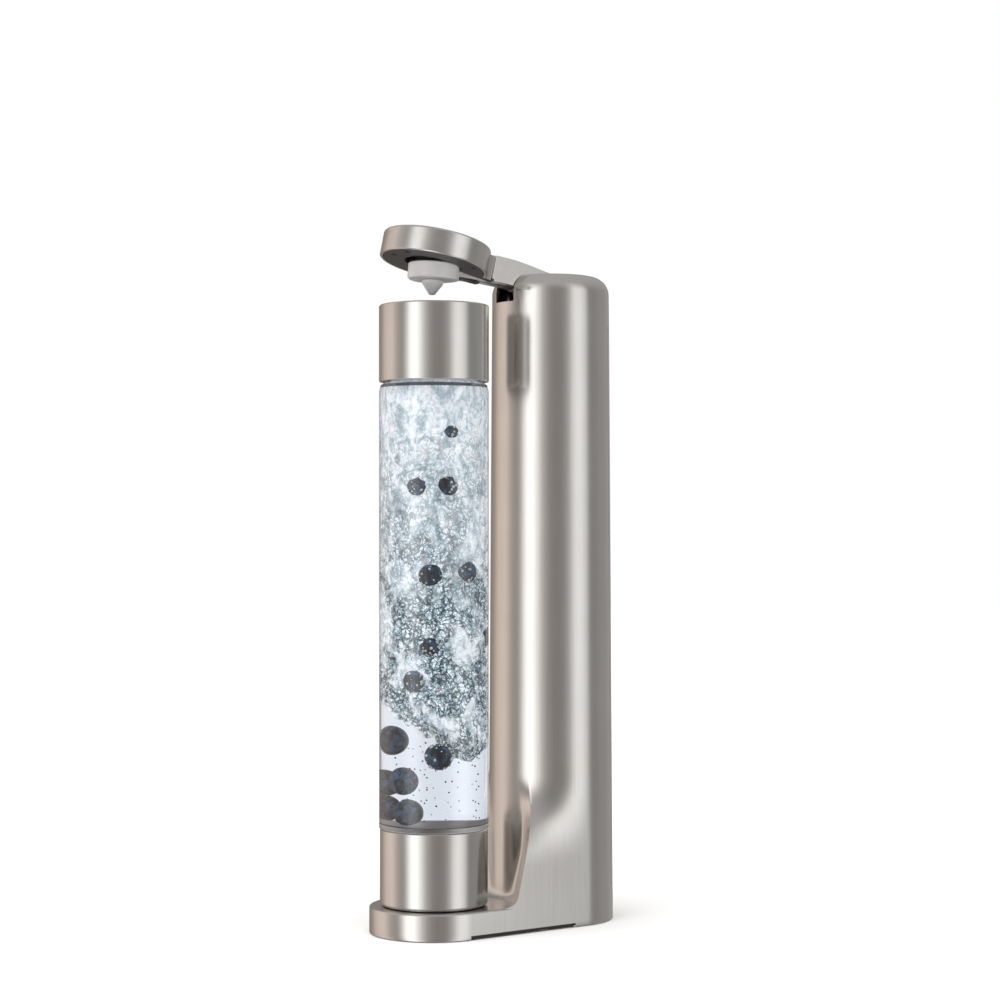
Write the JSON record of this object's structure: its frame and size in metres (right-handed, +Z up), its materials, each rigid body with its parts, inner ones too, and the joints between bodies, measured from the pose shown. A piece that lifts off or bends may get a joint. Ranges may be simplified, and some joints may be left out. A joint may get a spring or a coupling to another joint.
{
  "type": "soda carbonator",
  "caption": "Countertop soda carbonator: round steel tower on a long base, press lever with nozzle over a removable screw-cap bottle, gas cylinder inside.",
  "frame": {"origin": "centre of the base's footprint, on the plane the feet stand on", "axes": "+Z up, -Y towards the bottle, +Y towards the rear cover, X across the width"},
  "size_m": [0.083, 0.177, 0.451],
  "materials": {
    "stainless": "satin",
    "black_plastic": "matte",
    "dark_plastic": "satin",
    "hose_rubber": "matte",
    "hardware_steel": "polished",
    "brass": "machined",
    "rubber": "matte",
    "white_plastic": "gloss",
    "silicone": "matte",
    "grey_plastic": "satin",
    "clear_plastic": "clear gloss",
    "cylinder_aluminium": "satin"
  },
  "bodies": {
    "housing": {"body_shell": "stainless", "base_plate": "black_plastic", "foot_1": "rubber", "foot_2": "rubber", "foot_3": "rubber", "foot_4": "rubber", "base_screw_1": "hardware_steel", "base_screw_2": "hardware_steel", "base_screw_3": "hardware_steel", "base_screw_4": "hardware_steel", "chassis": "black_plastic", "chassis_screw_1": "hardware_steel", "chassis_screw_2": "hardware_steel", "chassis_screw_3": "hardware_steel", "chassis_screw_4": "hardware_steel", "pivot_pin": "hardware_steel", "valve_block": "brass", "valve_seal": "rubber", "outlet_fitting": "brass", "relief_valve": "brass", "gas_hose": "hose_rubber", "return_spring": "hardware_steel", "plunger_spring": "hardware_steel"},
    "lever": {"press_lever": "stainless", "lever_underplate": "dark_plastic", "lever_screw_1": "hardware_steel", "lever_screw_2": "hardware_steel", "lever_screw_3": "hardware_steel", "lever_screw_4": "hardware_steel", "lever_screw_5": "hardware_steel", "lever_screw_6": "hardware_steel"},
    "arm": {"nozzle_arm": "white_plastic", "nozzle_tip": "white_plastic", "nozzle_seal": "rubber"},
    "plunger": {"valve_plunger": "hardware_steel", "plunger_o_ring": "rubber"},
    "cover": {"rear_cover": "stainless"},
    "bottle": {"bottle_body": "clear_plastic", "base_cup": "stainless"},
    "cap_seal": {"cap_gasket": "silicone"},
    "cap": {"cap_sleeve": "stainless", "cap_core": "grey_plastic", "cap_seat": "rubber", "poppet_cage": "grey_plastic", "poppet_spring": "hardware_steel"},
    "poppet": {"check_poppet": "white_plastic"},
    "tank_seal": {"neck_washer": "rubber"},
    "tank": {"gas_cylinder": "cylinder_aluminium", "cylinder_valve": "brass"},
    "pin": {"valve_pin": "hardware_steel"}
  },
  "joints": [
    {"name": "lever_press", "type": "hinge", "parent": "housing", "child": "lever", "pos_m": [0, 0.052, 0.4194], "axis": [1, 0, 0], "range_deg": [0, 12.6], "stiffness_Nm_per_rad": 1, "springref_deg": -28.65, "deforming": ["return_spring"]},
    {"name": "arm_follow", "type": "hinge", "parent": "housing", "child": "arm", "pos_m": [0, 0.052, 0.4194], "axis": [1, 0, 0], "range_deg": [0, 5.1]},
    {"name": "plunger_push", "type": "slide", "parent": "housing", "child": "plunger", "axis": [0, 0, -1], "range_m": [0, 0.00115], "deforming": ["plunger_spring"]},
    {"name": "cover_pull", "type": "slide", "parent": "housing", "child": "cover", "axis": [0, 1, 0], "range_m": [0, 0.06]},
    {"name": "bottle_pull", "type": "slide", "parent": "housing", "child": "bottle", "axis": [0, -1, 0], "range_m": [0, 0.1]},
    {"name": "cap_rise", "type": "slide", "parent": "bottle", "child": "cap_seal", "axis": [0, 0, 1], "range_m": [0, 0.00765]},
    {"name": "cap_turn", "type": "hinge", "parent": "cap_seal", "child": "cap", "pos_m": [0, -0.047, 0.38], "axis": [0, 0, 1], "range_deg": [0, 540]},
    {"name": "poppet_press", "type": "slide", "parent": "cap", "child": "poppet", "axis": [0, 0, -1], "range_m": [0, 0.003], "stiffness_N_per_m": 200, "springref_m": -0.003, "deforming": ["poppet_spring"]},
    {"name": "tank_drop", "type": "slide", "parent": "housing", "child": "tank_seal", "axis": [0, 0, -1], "range_m": [0, 0.0101]},
    {"name": "tank_turn", "type": "hinge", "parent": "tank_seal", "child": "tank", "pos_m": [0, 0.047, 0.2], "axis": [0, 0, -1], "range_deg": [0, 900]},
    {"name": "pin_push", "type": "slide", "parent": "tank", "child": "pin", "axis": [0, 0, -1], "range_m": [0, 0.00115]}
  ],
  "couplings": [
    {"joint": "arm_follow", "follows": "lever_press", "ratio": 0.39683},
    {"joint": "plunger_push", "follows": "lever_press", "m_per_rad": 0.005},
    {"joint": "pin_push", "follows": "lever_press", "m_per_rad": 0.005},
    {"joint": "cap_rise", "follows": "cap_turn", "m_per_rad": 0.00079577},
    {"joint": "tank_drop", "follows": "tank_turn", "m_per_rad": 0.00063662}
  ]
}
